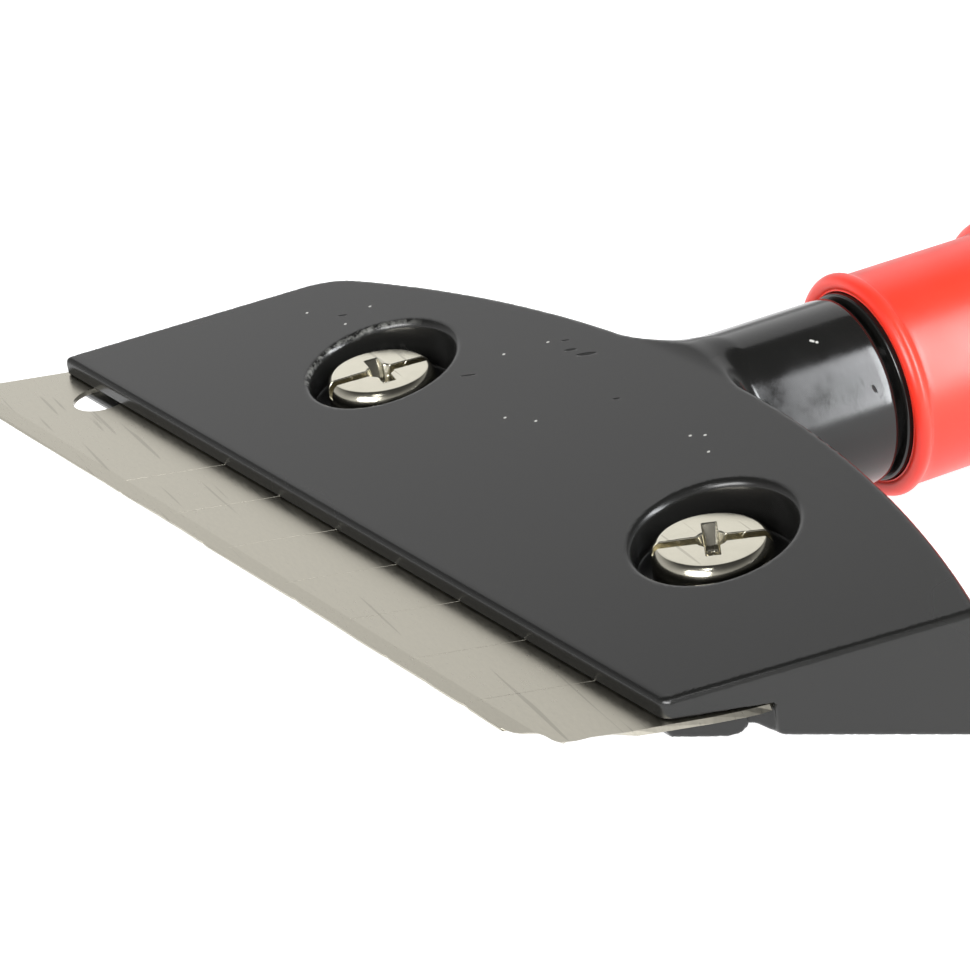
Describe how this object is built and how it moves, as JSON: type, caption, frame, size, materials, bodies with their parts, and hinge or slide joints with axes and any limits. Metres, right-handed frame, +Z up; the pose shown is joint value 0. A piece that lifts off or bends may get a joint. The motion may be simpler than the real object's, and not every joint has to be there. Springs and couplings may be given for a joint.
{
  "type": "razor blade scraper",
  "caption": "Hand scraper: skewed cast head that clamps a snap-off blade with two pan-head screws and a clamp plate, on a short tube handle with a red ringed grip.",
  "frame": {"origin": "centre of the hanging hole in the grip's tail, on the axis of the handle", "axes": "+X across the handle, along the hanging hole, to the right seen from behind the handle; +Y from the blade to the handle's end, along the handle's axis; +Z upward, off the head's top face, within 1 degree of the blade's normal"},
  "size_m": [0.1137, 0.2017, 0.0244],
  "materials": {
    "head_black": "satin black coating on a casting",
    "clamp_black": "satin black coating",
    "blade_steel": "ground steel",
    "screw_nickel": "nickel plated",
    "tube_steel": "drawn steel tube",
    "pin_steel": "plain steel",
    "grip_red": "soft red moulding, satin"
  },
  "bodies": {
    "head": {"head_casting": "head_black", "handle_tube": "tube_steel", "tube_pin": "pin_steel", "grip": "grip_red"},
    "clamp": {"clamp_plate": "clamp_black"},
    "blade_body": {"blade": "blade_steel"},
    "screw_left": {"clamp_screw_left": "screw_nickel"},
    "screw_right": {"clamp_screw_right": "screw_nickel"}
  },
  "joints": [
    {"name": "screw_right_turn", "type": "hinge", "parent": "head", "child": "screw_right", "pos_m": [0.02571, -0.15012, 0.00169], "axis": [0, -0.0169, 0.9999], "range_deg": [0, 540.5]},
    {"name": "screw_left_turn", "type": "hinge", "parent": "head", "child": "screw_left", "pos_m": [-0.02585, -0.15852, 0.00155], "axis": [0, -0.0169, 0.9999], "range_deg": [0, 540.5]},
    {"name": "clamp_drop", "type": "slide", "parent": "head", "child": "clamp", "axis": [0, 0.0169, -0.9999], "range_m": [0, 0.0015]},
    {"name": "blade_slide", "type": "slide", "parent": "head", "child": "blade_body", "axis": [0.1609, -0.9868, -0.0167], "range_m": [0, 0.0085]}
  ],
  "couplings": [
    {"joint": "screw_left_turn", "follows": "clamp_drop", "rad_per_m": 6283.2},
    {"joint": "screw_right_turn", "follows": "clamp_drop", "rad_per_m": 6283.2}
  ]
}
